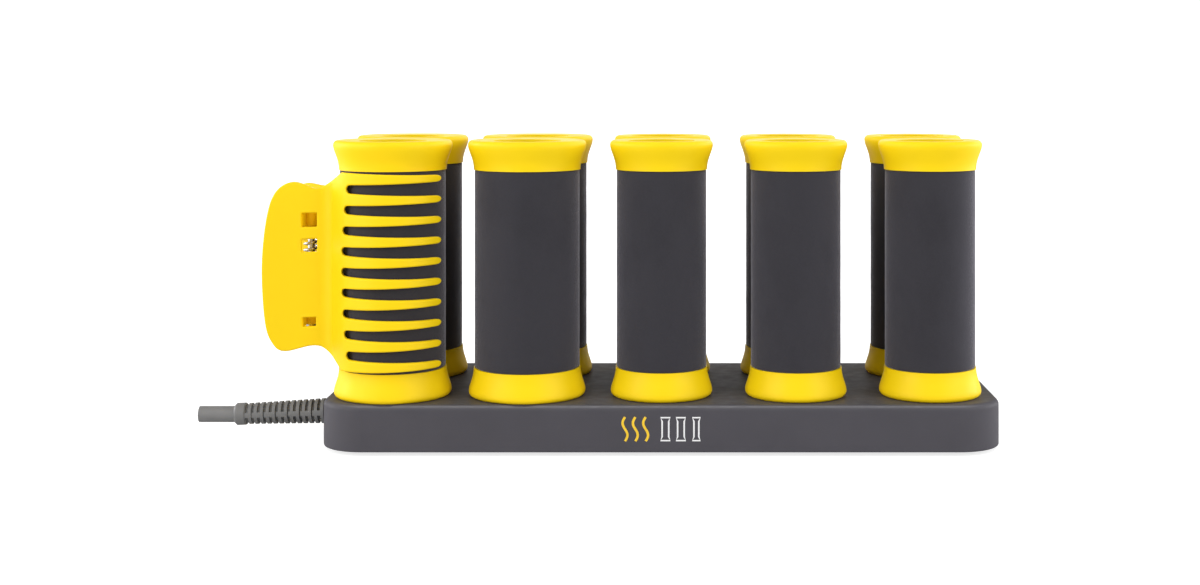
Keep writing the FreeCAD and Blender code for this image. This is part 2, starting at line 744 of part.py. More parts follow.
def strain_relief():
    """A tapered sleeve on the cord, cut crosswise so that it bends in a curve."""
    start, along = cord_axis()
    length = along.Length
    outside = BASE_W / 2 + start.x + RELIEF_ROOM
    inside = outside - WALL - 2 * RELIEF_ROOM
    p = [
        V(CORD_R + FIT, 0, inside - RELIEF_FLANGE_T),
        V(RELIEF_FLANGE_R, 0, inside - RELIEF_FLANGE_T),
        V(RELIEF_FLANGE_R, 0, inside),
        V(RELIEF_NECK_R, 0, inside),
        V(RELIEF_NECK_R, 0, outside),
        V(RELIEF_ROOT_R, 0, outside),
        V(RELIEF_TIP_R, 0, length - COLLAR_L),
        V(COLLAR_R, 0, length - COLLAR_L),
        V(COLLAR_R, 0, length - COLLAR_EDGE),
        V(COLLAR_R - COLLAR_EDGE, 0, length),
        V(CORD_R + FIT, 0, length),
    ]
    body = turned([line(a, b) for a, b in zip(p, p[1:] + p[:1])])
    clear = 2 * RELIEF_ROOT_R
    for i in range(RELIEF_SLOTS):
        at = outside + RELIEF_FIRST_SLOT + i * RELIEF_SLOT_PITCH
        end = at + RELIEF_SLOT_W
        gap = box(RELIEF_WEB / 2, clear, -clear, clear, at, end)
        body = body.cut(gap).cut(gap.mirror(V(0, 0, 0), V(1, 0, 0)))
        if i % 2 == 0:
            body = body.cut(ring(0, 0, end - GROOVE_W, end, clear, GROOVE_R))
    body.rotate(V(0, 0, 0), V(0, 1, 0), -math.degrees(math.acos(along.z / length)))
    body.translate(start)
    return body


def switch_block(grow, depth, proud):
    """A block round the rocker's opening, from this deep in the wall to this proud of it."""
    half_w, half_h = SWITCH_W / 2 + grow, SWITCH_H / 2 + grow
    wall_y = BASE_D / 2
    return box(
        SWITCH_X - half_w, SWITCH_X + half_w, wall_y - depth, wall_y + proud,
        SWITCH_Z - half_h, SWITCH_Z + half_h
    )


def rocker_pin(r, half_length):
    y = BASE_D / 2 - ROCKER_SINK
    return post(SWITCH_X, y, SWITCH_Z - half_length, SWITCH_Z + half_length, r)


def switch_frame():
    bezel = switch_block(SWITCH_WALL + BEZEL_RIM, 0, BEZEL_T)
    edges = [e for e in bezel.Edges if e.BoundBox.YMin > BASE_D / 2 + BEZEL_T - 0.01]
    bezel = bezel.makeFillet(BEZEL_EDGE_R, edges)
    frame = bezel.fuse(switch_block(SWITCH_WALL, SWITCH_DEPTH, BEZEL_T / 2))
    frame = frame.cut(switch_block(0, SWITCH_DEPTH - 1, BEZEL_T + 1))
    frame = frame.cut(rocker_pin(ROCKER_PIN_R + 0.05, SWITCH_H / 2 + SWITCH_WALL))
    return frame.removeSplitter()


def switch_rocker():
    """A rocker about an upright axle, shown switched off: its left end stands out."""
    half_h = SWITCH_H / 2 - 0.1
    reach = ROCKER_R + 1
    disc = post(0, 0, -half_h, half_h, ROCKER_R)
    rocker = disc.common(box(-reach, reach, -ROCKER_BACK, reach, -half_h, half_h))
    rise = reach * math.tan(math.radians(ROCKER_SLOPE))
    low, left, right = V(0, ROCKER_WAIST, -half_h), V(-reach, 0, 0), V(reach, 0, 0)
    up = V(0, rise, 0)
    beyond = V(0, 2 * reach, 0)
    corners = [low, low + right + up, low + right + beyond, low + left + beyond, low + left + up]
    dished = face([line(a, b) for a, b in zip(corners, corners[1:] + corners[:1])])
    rocker = rocker.cut(dished.extrude(UP * SWITCH_H))
    rocker.rotate(V(0, 0, 0), UP, -ROCKER_TILT)
    rocker.translate(V(SWITCH_X, BASE_D / 2 - ROCKER_SINK, SWITCH_Z))
    return rocker.fuse(rocker_pin(ROCKER_PIN_R, half_h + ROCKER_PIN_OUT)).removeSplitter()


def make_base():
    save("base_upper_shell", [upper_shell()])
    save("base_bottom_cover", [bottom_cover()])
    save("rubber_feet", rubber_feet())
    save("case_screws", copies(case_screw(), screw_places()))
    save("heating_posts", copies(heating_post(), post_places()))
    save("post_heaters", copies(post_heater(), post_places()))
    save("post_collars", copies(post_collar(), post_places()))
    save("heat_shield", [heat_shield()])
    save("wiring_harness", wiring_harness())
    save("thermal_cutout", [thermal_cutout()])
    save("terminal_block", [terminal_block()])
    save("cord_clamp", [cord_clamp()])
    save("strain_relief", [strain_relief()])
    save("power_cord", [power_cord()])
    save("power_switch_frame", [switch_frame()])
    save("power_switch_rocker", [switch_rocker()])


os.makedirs("parts", exist_ok=True)
make_rollers()
make_clip()
make_base()
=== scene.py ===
"""Looks for the heated roller set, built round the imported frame. Sizes are in metres."""
import json
import math

import bmesh
import bpy
import numpy as np
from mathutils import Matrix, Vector, noise
from mathutils.bvhtree import BVHTree

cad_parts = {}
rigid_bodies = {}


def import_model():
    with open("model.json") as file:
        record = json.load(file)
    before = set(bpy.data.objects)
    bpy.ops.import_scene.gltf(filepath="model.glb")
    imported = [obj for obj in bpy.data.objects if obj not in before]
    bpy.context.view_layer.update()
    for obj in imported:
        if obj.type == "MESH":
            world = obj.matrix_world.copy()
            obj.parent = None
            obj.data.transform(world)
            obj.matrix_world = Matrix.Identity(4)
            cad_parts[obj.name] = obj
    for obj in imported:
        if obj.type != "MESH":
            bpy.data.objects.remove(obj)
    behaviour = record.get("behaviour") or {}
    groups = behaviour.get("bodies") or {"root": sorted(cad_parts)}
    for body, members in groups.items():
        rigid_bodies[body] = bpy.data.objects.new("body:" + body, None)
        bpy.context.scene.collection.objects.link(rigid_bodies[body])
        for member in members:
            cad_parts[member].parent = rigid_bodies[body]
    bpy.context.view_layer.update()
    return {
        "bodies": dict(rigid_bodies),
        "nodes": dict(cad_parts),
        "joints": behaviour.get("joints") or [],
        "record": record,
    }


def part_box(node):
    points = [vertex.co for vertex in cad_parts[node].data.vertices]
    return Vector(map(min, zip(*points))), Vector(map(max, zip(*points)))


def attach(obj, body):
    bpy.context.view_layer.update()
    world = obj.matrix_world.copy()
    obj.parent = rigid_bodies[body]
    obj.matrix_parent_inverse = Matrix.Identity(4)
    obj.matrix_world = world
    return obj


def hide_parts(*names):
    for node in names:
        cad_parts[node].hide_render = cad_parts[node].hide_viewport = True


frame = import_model()
scene = bpy.context.scene
nodes = frame["nodes"]

MM = 0.001
ROLLERS = [b for b in frame["bodies"] if b.startswith("roller_")]
CLIP_ROLLER = "roller_front_1"
JOINTS = {j["name"]: j for j in frame["joints"]}

# Claw clip, as in the frame: sheet thickness, edge rounding, and the front jaw's plan
CLIP_T = 2.0 * MM
CLIP_EDGE = 0.55 * MM
JAW_GAP = 0.5 * MM           # between the jaw and the flock
JAW_TIP_ANGLE = 22.0
JAW_ROOT_ANGLE = 140.0
NECK_SLOPE = 5.0 * MM        # straight stretch between the jaw's arc and the bend into the wing
BEND_R = 6.0 * MM            # at the middle of the sheet
WING_SPLAY = 20.0
FINGERS = 10
FINGER_TIP_W = 2.5 * MM
FINGER_ROOT_W = 4.3 * MM
FINGER_END_X = {"front": 18.2 * MM, "rear": 16.2 * MM}    # at the middle of the sheet
CREST_DROP = {"front": 0, "rear": 1.8}       # how much lower the rear wing's top is, in mm
FINGER_START_X = -16.0 * MM
SLOT_ROOT_X = -15.9 * MM     # of the middle slots; the outer ones are shorter
SLOT_ROOT_BOW = 2.1 * MM
WING_LENGTH = 32 * MM        # longer than any wing, since the outline cuts it
PLAN_SAMPLES = 1200
ARC_CUTS, BEND_CUTS, WING_CUTS = 64, 24, 8
WING_CUT_PITCH = 2.5 * MM
EDGE_STEPS, TIP_STEPS, CORNER_STEPS, WING_STEPS = 12, 8, 3, 7
DRAW_X = (2 * MM, 12 * MM)   # left of this the slots' walls run straight back; right of it, square
WINDOW_SHIFT = 1.2 * MM      # the windows' middle, right of the hinge axis
WINDOW_SHORT = 0.3           # how much a window stops short of its knuckle at each end, in mm
WINDOW_CORNER = 0.35 * MM
KNUCKLES = {                 # middle height, length and window width, in mm
    "front": [(81.7, 5.6, 5.0), (45.4, 3.8, 4.4)],
    "rear": [(76.9, 3.8, 4.4), (49.4, 3.8, 4.4)],
}
SPRING_WINDOW = (70.3 * MM, 74.9 * MM, 2.6 * MM)    # low, high, half width
BARREL_R = 2.6 * MM
BORE_R = 1.32 * MM
BARREL_EDGE = 0.25 * MM
LUG_W = 8.0 * MM
CHEEK_REACH = 1.2 * MM       # how far a cheek may run past the hinge axis
CHEEK_TAPER = 0.3            # and how much of its distance from the axis it does run
CHEEK_EDGE = 0.2 * MM
SPRING_WIRE_R = 0.5 * MM
SPRING_R = 2.45 * MM
SPRING_WINDINGS = 7
SPRING_STEPS = 190
SPRING_LEAN = 20.0           # how much more than a wing each leg leans out
SPRING_LEG = 13.2 * MM

# Flocked sleeves
PILE_DEPTH = 0.86 * MM
PILE_ROLL = 0.55 * MM        # rounding of the pile at each end
PILE_ROWS = 96
PILE_SEGMENTS = 180
PILE_FINE = (1400, 0.030 * MM)      # noise scale and height
PILE_PATCHES = (130, 0.045 * MM)
PILE_SINK = 0.05 * MM
PILE_SPREAD = 9              # sets the columns' unevenness apart

# Printed marks, in mm from the middle of the face unless noted
PRINT_T = 0.06 * MM          # half of a printed line's thickness, through the face
WAVES_X = -12.5
WAVE_PITCH = 3.6
WAVE_SWING = 0.85
WAVE_TALL = 8.4
WAVE_LINE = 0.85
WAVE_STEPS = 24
OUTLINES_X = 1.6
OUTLINE_PITCH = 5.4
OUTLINE_HALF_W = (1.65, 1.65, 1.35)
OUTLINE_HALF_H = 4.0
OUTLINE_WAIST = (0.5, 1.3)   # how far in and down the flared ends run
OUTLINE_LINE = 0.55
SWITCH_MARK_X = 3.3
SWITCH_BAR = 2.6
SWITCH_RING_R = 1.15
SWITCH_LINE = 0.4

# Cut end of the cord: how far each part stands proud of the cut, its radius and its sides
CORE_OFF_AXIS = 1.35 * MM
CORE_INSIDE = 1 * MM
CORE_PARTS = {"core": (0.15 * MM, 1.15 * MM, 24), "copper": (0.25 * MM, 0.6 * MM, 18)}

# Stage, lights (place, width and height, power) and camera
AIM = (0, 0, 0.06)
LIGHTS = {
    "key": ((-1.2, -0.95, 0.42), (0.9, 0.9), 11.6),
    "fill": ((1.25, -0.95, 0.32), (0.9, 0.9), 10.2),
    "left": ((-1.15, 0.25, 0.30), (0.9, 0.6), 8),
    "right": ((1.15, 0.25, 0.30), (0.9, 0.6), 8),
    "top": ((0, -0.75, 1.25), (1.4, 0.9), 6),
    "back": ((0.3, 1.25, 0.7), (1.8, 0.8), 7),
    "edge": ((0, -0.235, 1.0), (1.3, 0.12), 46),
}
EDGE_AIM = (0, -0.044, 0.018)       # the front edge of the base's top
KEPT_OFF_BASE = ("top", "back")
AMBIENT = 0.45
EYE = (0.0067, -0.6338, 0.134)
LENS = 50.7
LENS_SHIFT = (-0.0667, -0.1829)


# ------------------------------------------------------------------ materials

class Finish:
    """A procedural material: a Principled surface, fed by noise in object space."""

    DARK_INPUT, LIGHT_INPUT, COLOR_OUTPUT = 6, 7, 2     # a colour Mix node's sockets

    def __init__(self, name, color, roughness, metallic=0.0):
        self.material = bpy.data.materials.new(name)
        self.material.use_nodes = True
        self.material.diffuse_color = (*color, 1)
        self.tree = self.material.node_tree
        self.surface = self.tree.nodes["Principled BSDF"]
        self.place = self.tree.nodes.new("ShaderNodeTexCoord").outputs["Object"]
        self.normal = None
        self.color = color
        self.set("Base Color", (*color, 1))
        self.set("Roughness", roughness)
        self.set("Metallic", metallic)

    def set(self, name, value):
        self.surface.inputs[name].default_value = value
        return self

    def node(self, kind, **values):
        made = self.tree.nodes.new(kind)
        for key, value in values.items():
            setattr(made, key, value)
        return made

    def link(self, a, b):
        self.tree.links.new(a, b)

    def stretched(self, scale):
        mapping = self.node("ShaderNodeMapping")
        mapping.inputs["Scale"].default_value = scale
        self.link(self.place, mapping.inputs["Vector"])
        return mapping.outputs["Vector"]

    def noise(self, scale, detail=2.0, roughness=0.5, stretch=(1, 1, 1)):
        made = self.node("ShaderNodeTexNoise")
        self.link(self.stretched(stretch), made.inputs["Vector"])
        made.inputs["Scale"].default_value = scale
        made.inputs["Detail"].default_value = detail
        made.inputs["Roughness"].default_value = roughness
        return made.outputs["Fac"]

    def cells(self, scale):
        made = self.node("ShaderNodeTexVoronoi")
        self.link(self.place, made.inputs["Vector"])
        made.inputs["Scale"].default_value = scale
        return made.outputs["Distance"]

    def ranged(self, value, low, high, from_low=0.3, from_high=0.7):
        made = self.node("ShaderNodeMapRange")
        self.link(value, made.inputs["Value"])
        made.inputs["From Min"].default_value = from_low
        made.inputs["From Max"].default_value = from_high
        made.inputs["To Min"].default_value = low
        made.inputs["To Max"].default_value = high
        return made.outputs["Result"]

    def vary_roughness(self, value, low, high):
        self.link(self.ranged(value, low, high), self.surface.inputs["Roughness"])
        return self

    def vary_color(self, value, dark, light):
        """Base colour times dark where value is low, and times light where it is high."""
        mix = self.node("ShaderNodeMix", data_type="RGBA")
        self.link(self.ranged(value, 0, 1), mix.inputs["Factor"])
        for socket, gain in ((self.DARK_INPUT, dark), (self.LIGHT_INPUT, light)):
            mix.inputs[socket].default_value = (*[min(1, c * gain) for c in self.color], 1)
        self.link(mix.outputs[self.COLOR_OUTPUT], self.surface.inputs["Base Color"])
        return self

    def paint_edge_sheen(self, gain):
        """Painted sheen: base colour times gain where the surface turns away from the eye."""
        facing = self.node("ShaderNodeLayerWeight")
        facing.inputs["Blend"].default_value = 0.5
        scale = self.node("ShaderNodeVectorMath", operation="SCALE")
        self.link(self.surface.inputs["Base Color"].links[0].from_socket, scale.inputs[0])
        self.link(self.ranged(facing.outputs["Facing"], 1, gain, 0, 1), scale.inputs["Scale"])
        self.link(scale.outputs["Vector"], self.surface.inputs["Base Color"])

    def bump(self, height, strength, distance):
        made = self.node("ShaderNodeBump")
        made.inputs["Strength"].default_value = strength
        made.inputs["Distance"].default_value = distance
        self.link(height, made.inputs["Height"])
        if self.normal:
            self.link(self.normal, made.inputs["Normal"])
        self.normal = made.outputs["Normal"]
        self.link(self.normal, self.surface.inputs["Normal"])
        return self


def yellow_plastic():
    """Satin heat-resistant moulding: faint flow marks and a very fine grain."""
    f = Finish("yellow_plastic", (0.95, 0.66, 0.004), 0.48)
    f.set("Specular IOR Level", 0.18)
    f.vary_color(f.noise(38, 3), 0.975, 1.02)
    f.vary_roughness(f.noise(160, 4), 0.42, 0.54)
    f.bump(f.noise(2600, 2), 0.10, 0.00008)
    f.bump(f.noise(70, 2), 0.08, 0.0004)
    return f.material


def flock():
    """Short dense velvet: a dark pile with a painted sheen that lightens its colour towards the
    edges, and brushed patches.
    """
    f = Finish("flocked_sleeve", (0.037, 0.0355, 0.0415), 0.95)
    f.set("Specular IOR Level", 0.1)
    f.set("Sheen Weight", 0.6).set("Sheen Roughness", 0.30)
    f.set("Sheen Tint", (0.92, 0.90, 1.0, 1))
    patches = f.noise(55, 4, 0.6, (1, 1, 0.55))
    fine = f.noise(1500, 3, 0.7)
    both = f.node("ShaderNodeMath", operation="MULTIPLY_ADD")
    f.link(fine, both.inputs[0])
    both.inputs[1].default_value = 0.35
    f.link(patches, both.inputs[2])
    f.vary_color(both.outputs[0], 0.90, 1.12)
    # painted sheen: the pile's colour is lightened where it turns away from the eye
    f.paint_edge_sheen(2.1)
    f.bump(f.noise(2300, 3, 0.8), 0.55, 0.00022)
    f.bump(f.cells(1900), 0.25, 0.00015)
    return f.material


def case_plastic(name, color, roughness=0.5):
    """Fine spark-eroded texture with a slight, uneven sheen."""
    f = Finish(name, color, roughness)
    f.set("Specular IOR Level", 0.13)
    f.vary_color(f.noise(45, 4), 0.95, 1.05)
    f.vary_roughness(f.noise(230, 4), roughness - 0.07, roughness + 0.07)
    f.bump(f.noise(1700, 3, 0.6), 0.16, 0.00012)
    return f.material


def metal(name, color, roughness, stretch=(1, 1, 0.02), scale=900):
    """Drawn or turned metal: fine lines along one direction."""
    f = Finish(name, color, roughness, 1.0)
    lines = f.noise(scale, 3, 0.6, stretch)
    f.vary_color(lines, 0.88, 1.06)
    f.vary_roughness(lines, roughness - 0.08, roughness + 0.10)
    f.bump(lines, 0.12, 0.00004)
    return f.material


def rubber(name, color, roughness=0.55):
    f = Finish(name, color, roughness)
    f.set("Specular IOR Level", 0.4)
    f.vary_color(f.noise(120, 3), 0.9, 1.1)
    f.bump(f.noise(1300, 3), 0.2, 0.0001)
    return f.material


def ink(name, color):
    f = Finish(name, color, 0.5)
    f.vary_color(f.noise(400, 2), 0.95, 1.03)
    f.bump(f.noise(2500, 2), 0.1, 0.00003)
    return f.material


def glass_braid():
    """Woven sleeve on the inside wiring: diagonal ribs."""
    f = Finish("wire_insulation", (0.70, 0.67, 0.60), 0.8)
    weave = f.node("ShaderNodeTexWave", wave_type="BANDS", bands_direction="DIAGONAL")
    f.link(f.place, weave.inputs["Vector"])
    weave.inputs["Scale"].default_value = 420
    f.vary_color(weave.outputs["Fac"], 0.8, 1.05)
    f.bump(weave.outputs["Fac"], 0.4, 0.0002)
    return f.material


MATERIALS = {
    "yellow_plastic": yellow_plastic(),
    "flocked_sleeve": flock(),
    "case_plastic": case_plastic("case_plastic", (0.084, 0.080, 0.093), 0.52),
    "cover_plastic": case_plastic("cover_plastic", (0.050, 0.047, 0.053), 0.6),
    "collar_plastic": case_plastic("collar_plastic", (0.035, 0.034, 0.037), 0.65),
    "terminal_plastic": case_plastic("terminal_plastic", (0.72, 0.70, 0.62), 0.45),
    "heater_body": case_plastic("heater_body", (0.80, 0.76, 0.68), 0.75),
    "switch_black": case_plastic("switch_black", (0.018, 0.018, 0.020), 0.35),
    "aluminium_extrusion": metal("aluminium_extrusion", (0.74, 0.74, 0.75), 0.34),
    "aluminium_post": metal("aluminium_post", (0.56, 0.56, 0.58), 0.38, (1, 1, 4), 500),
    "aluminium_sheet": metal("aluminium_sheet", (0.78, 0.78, 0.79), 0.3, (0.03, 1, 1)),
    "steel": metal("steel", (0.62, 0.61, 0.60), 0.24, (1, 1, 1), 300),
    "cord_rubber": rubber("cord_rubber", (0.185, 0.185, 0.187), 0.5),
    "foot_rubber": rubber("foot_rubber", (0.03, 0.03, 0.03), 0.8),
    "wire_insulation": glass_braid(),
    "print_yellow": ink("print_yellow", (0.90, 0.58, 0.03)),
    "print_white": ink("print_white", (0.86, 0.86, 0.87)),
    "core_brown": case_plastic("core_brown", (0.16, 0.07, 0.03), 0.45),
    "core_blue": case_plastic("core_blue", (0.03, 0.12, 0.35), 0.45),
    "copper": metal("copper", (0.80, 0.38, 0.22), 0.3, (1, 1, 1), 1500),
}


def dress_cad_nodes():
    for sub in frame["record"]["subparts"]:
        mesh = nodes[sub["node"]].data
        mesh.materials.clear()
        mesh.materials.append(MATERIALS[sub["material_slot"]])


# ------------------------------------------------------------------ mesh tools

def new_object(name, mesh, material, body):
    """Links a finished mesh as a piece that rides on a body."""
    made = bpy.data.objects.new(name, mesh)
    scene.collection.objects.link(made)
    mesh.materials.clear()
    mesh.materials.append(MATERIALS[material])
    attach(made, body)
    return made


def mesh_from(name, verts, faces, sharp_angle=35):
    mesh = bpy.data.meshes.new(name)
    mesh.from_pydata([tuple(v) for v in verts], [], faces)
    mesh.validate()
    tidy_normals(mesh, sharp_angle)
    return mesh


def tidy_normals(mesh, sharp_angle=35):
    bm = bmesh.new()
    bm.from_mesh(mesh)
    bmesh.ops.recalc_face_normals(bm, faces=bm.faces)
    bm.to_mesh(mesh)
    bm.free()
    mesh.shade_smooth()
    mesh.set_sharp_from_angle(angle=math.radians(sharp_angle))


def lathe(name, profile, centre, segments, wobble=None):
    """Turns a closed (radius, z) outline about the upright line through centre."""
    verts, faces = [], []
    count = len(profile)
    for i in range(segments):
        a = 2 * math.pi * i / segments
        for j, (r, z) in enumerate(profile):
            grown = r + (wobble(a, j, z) if wobble else 0)
            x, y = centre[0] + grown * math.cos(a), centre[1] + grown * math.sin(a)
            verts.append((x, y, z))
    for i in range(segments):
        k = (i + 1) % segments
        for j in range(count):
            m = (j + 1) % count
            faces.append((i * count + j, k * count + j, k * count + m, i * count + m))
    return mesh_from(name, verts, faces)


def arc_points(cx, cz, r, start, end, steps=4):
    """Points on an arc in the (radius, z) plane, angles in degrees."""
    turns = [math.radians(start + (end - start) * i / steps) for i in range(steps + 1)]
    return [(cx + r * math.cos(t), cz + r * math.sin(t)) for t in turns]


def swept(name, path, r, sides=12):
    """A round wire along a list of points."""
    verts, faces = [], []
    side = None
    for i, p in enumerate(path):
        ahead = (path[min(i + 1, len(path) - 1)] - path[max(i - 1, 0)]).normalized()
        if side is None:
            side = ahead.orthogonal().normalized()
        side = (side - ahead * side.dot(ahead)).normalized()
        up = ahead.cross(side)
        for k in range(sides):
            a = 2 * math.pi * k / sides
            verts.append(p + side * (r * math.cos(a)) + up * (r * math.sin(a)))
    for i in range(len(path) - 1):
        for k in range(sides):
            m = (k + 1) % sides
            row, nxt = i * sides, (i + 1) * sides
            faces.append((row + k, row + m, nxt + m, nxt + k))
    faces.append(tuple(range(sides))[::-1])
    faces.append(tuple(len(verts) - sides + k for k in range(sides)))
    return mesh_from(name, verts, faces, sharp_angle=50)


# ------------------------------------------------------------------ flocked sleeves

def pile_profile(r, foot, top):
    """A sleeve's closed (radius, z) outline, from its inner foot out, up and in again."""
    rolled = r - PILE_ROLL
    low, tall = foot + PILE_ROLL, top - foot - 2 * PILE_ROLL
    profile = [(r - PILE_DEPTH, foot)] + arc_points(rolled, low, PILE_ROLL, -90, 0)[:-1]
    profile += [(r, low + tall * i / PILE_ROWS) for i in range(PILE_ROWS + 1)]
    profile += arc_points(rolled, top - PILE_ROLL, PILE_ROLL, 0, 90)[1:]
    return profile + [(r - PILE_DEPTH, top)]


def flocked_sleeves():
    """Each sleeve is a pile with soft rolled ends and a faint unevenness."""
    for roller in ROLLERS:
        node = roller + "_sleeve"
        low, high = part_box(node)
        centre = (low + high) / 2
        r = (high.x - low.x) / 2
        profile = pile_profile(r, low.z, high.z)
        inner_rows = {0, len(profile) - 1}
        x0, y0 = centre.x * PILE_SPREAD, centre.y * PILE_SPREAD

        def nap(a, j, z):
            if j in inner_rows:
                return 0
            p = Vector((x0 + math.cos(a) * r, y0 + math.sin(a) * r, z))
            uneven = [noise.noise(p * scale) * tall for scale, tall in (PILE_FINE, PILE_PATCHES)]
            return sum(uneven) - PILE_SINK

        mesh = lathe(roller + "_flock", profile, centre, PILE_SEGMENTS, nap)
        piece = new_object(roller + "_flock", mesh, "flocked_sleeve", roller)
        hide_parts(node)


# ------------------------------------------------------------------ claw clip

class Jaw:
    """The bent sheet of a clip jaw: a flat (x, z) layout pressed onto the plan line."""

    def __init__(self, which):
        self.which = which
        self.side = -1 if which == "front" else 1
        low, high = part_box(CLIP_ROLLER + "_sleeve")
        self.centre = (low + high) / 2
        self.r = (high.x - low.x) / 2 + JAW_GAP + CLIP_T / 2
        self.start = math.radians(JAW_TIP_ANGLE)
        root, splay = math.radians(JAW_ROOT_ANGLE), math.radians(WING_SPLAY)
        self.spoke = Vector((math.cos(root), -math.sin(root)))
        self.slope = Vector((-math.sin(root), -math.cos(root)))
        self.along = Vector((-math.cos(splay), -math.sin(splay)))
        self.outward = Vector((math.sin(splay), -math.cos(splay)))
        self.bend = self.spoke * (self.r + BEND_R) + self.slope * NECK_SLOPE
        self.bend_start = math.atan2(-self.spoke.y, -self.spoke.x)
        self.bend_turn = math.atan2(-self.outward.y, -self.outward.x) - self.bend_start
        arc, bend = self.r * (root - self.start), BEND_R * abs(self.bend_turn)
        self.ends = (arc, arc + NECK_SLOPE, arc + NECK_SLOPE + bend)
        jaw_low, jaw_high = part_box("clip_front_jaw")
        self.middle = (jaw_low.z + jaw_high.z) / 2
        self.pitch = (jaw_high.z - jaw_low.z - FINGER_ROOT_W) / (FINGERS - 1)
        self.s = np.linspace(0, self.ends[2] + WING_LENGTH, PLAN_SAMPLES)
        self.lines = {}
        for name, depth in (("inner", -CLIP_T / 2), ("middle", 0), ("outer", CLIP_T / 2)):
            points = [self.offset(s, depth) for s in self.s]
            self.lines[name] = np.array([(p.x, p.y) for p in points])

    def offset(self, s, depth):
        """A plan point, a distance s along the middle line and a depth out of it."""
        arc_end, slope_end, bend_end = self.ends
        if s <= arc_end:
            a = self.start + s / self.r
            return Vector((math.cos(a), -math.sin(a))) * (self.r + depth)
        if s <= slope_end:
            return self.spoke * (self.r + depth) + self.slope * (s - arc_end)
        if s <= bend_end:
            a = self.bend_start + self.bend_turn * (s - slope_end) / (bend_end - slope_end)
            return self.bend + Vector((math.cos(a), math.sin(a))) * (BEND_R - depth)
        return self.bend + self.outward * (depth - BEND_R) + self.along * (s - bend_end)

    def on_line(self, name, x, values):
        return float(np.interp(-x, -self.lines[name][:, 0], values))

    def drawn(self, x, depth):
        """Straight back from the layout, as the mould's slides leave it."""
        inner = self.on_line("inner", x, self.lines["inner"][:, 1])
        outer = self.on_line("outer", x, self.lines["outer"][:, 1])
        return Vector((x, inner + (outer - inner) * (depth / CLIP_T + 0.5)))

    def wrapped(self, x, depth):
        """Square to the sheet."""
        return self.offset(self.on_line("middle", x, self.s), depth)

    def place(self, x, z, depth):
        t = min(1, max(0, (x - DRAW_X[0]) / (DRAW_X[1] - DRAW_X[0])))
        spot = self.drawn(x, depth).lerp(self.wrapped(x, depth), t * t * (3 - 2 * t))
        return Vector((self.centre.x + spot.x, self.centre.y - self.side * spot.y, z))

    def cuts(self):
        """Where the layout is split across, so that it can follow the plan line."""
        arc_end, slope_end, bend_end = self.ends
        places = list(np.linspace(0, arc_end, ARC_CUTS))
        places += list(np.linspace(slope_end, bend_end, BEND_CUTS))
        places += [bend_end + (i + 1) * WING_CUT_PITCH for i in range(WING_CUTS)]
        return [self.offset(s, 0).x for s in places]


def smooth_run(points, steps=WING_STEPS):
    """A Catmull-Rom curve through points, without its last point."""
    pts = [Vector(p) for p in points]
    ends = [pts[0] * 2 - pts[1]] + pts + [pts[-1] * 2 - pts[-2]]
    run = []
    for a, b, c, d in zip(ends, ends[1:], ends[2:], ends[3:]):
        for i in range(steps):
            t = i / steps
            run.append(0.5 * (
                2 * b + (c - a) * t + (2 * a - 5 * b + 4 * c - d) * t ** 2
                + (3 * b - a - 3 * c + d) * t ** 3
            ))
    return run


def straight(a, b, steps=EDGE_STEPS):
    return [Vector(a).lerp(Vector(b), i / steps) for i in range(steps)]


def jaw_outline(jaw):
    """The clip seen from the front, (x, z) from the roller's axis: wing, then fingers and slots."""
    top = jaw.middle + (FINGERS - 1) / 2 * jaw.pitch
    low = 2 * jaw.middle - top
    root = FINGER_ROOT_W / 2
    tip_r = FINGER_TIP_W / 2
    tip_x = FINGER_END_X[jaw.which] - tip_r
    drop = CREST_DROP[jaw.which]
    wing_mm = [
        (-22.6, 94.2), (-26.2, 92.9), (-33.6, 95.4 - drop), (-39.4, 91.9 - drop),
        (-42.4, 82.6), (-43.9, 65.5), (-42.9, 46.3), (-40.4, 38.4),
        (-36.4, 35.4), (-27.2, 36.9), (-22.3, 35.1),
    ]
    wing = [(FINGER_START_X, top + root)] + [(x * MM, z * MM) for x, z in wing_mm]
    outline = smooth_run(wing + [(FINGER_START_X, low - root)])
    outline += straight((FINGER_START_X, low - root), (tip_x, low - tip_r))
    half = (jaw.pitch - FINGER_ROOT_W) / 2
    for i in range(FINGERS):
        z = low + i * jaw.pitch
        outline += [Vector(p) for p in arc_points(tip_x, z, tip_r, -90, 90, TIP_STEPS)]
        if i < FINGERS - 1:
            spread = (i - (FINGERS - 2) / 2) / ((FINGERS - 2) / 2)
            slot_x = SLOT_ROOT_X + SLOT_ROOT_BOW * spread ** 2 + half
            mid = z + jaw.pitch / 2
            outline += straight((tip_x, z + tip_r), (slot_x, mid - half))[1:]
            outline += [Vector(p) for p in arc_points(slot_x, mid, half, 270, 90, TIP_STEPS)]
            outline += straight((slot_x, mid + half), (tip_x, z + jaw.pitch - tip_r))[1:]
    outline += straight((tip_x, top + tip_r), (FINGER_START_X, top + root))[1:]
    return outline


def wing_window(middle_x, z0, z1, half):
    """A moulding window's outline: a rectangle with slightly rounded corners."""
    corner = WINDOW_CORNER
    x0, x1 = middle_x - half, middle_x + half
    loop = arc_points(x1 - corner, z1 - corner, corner, 0, 90, CORNER_STEPS)
    loop += arc_points(x0 + corner, z1 - corner, corner, 90, 180, CORNER_STEPS)
    loop += arc_points(x0 + corner, z0 + corner, corner, 180, 270, CORNER_STEPS)
    loop += arc_points(x1 - corner, z0 + corner, corner, 270, 360, CORNER_STEPS)
    return [Vector(p) for p in loop]


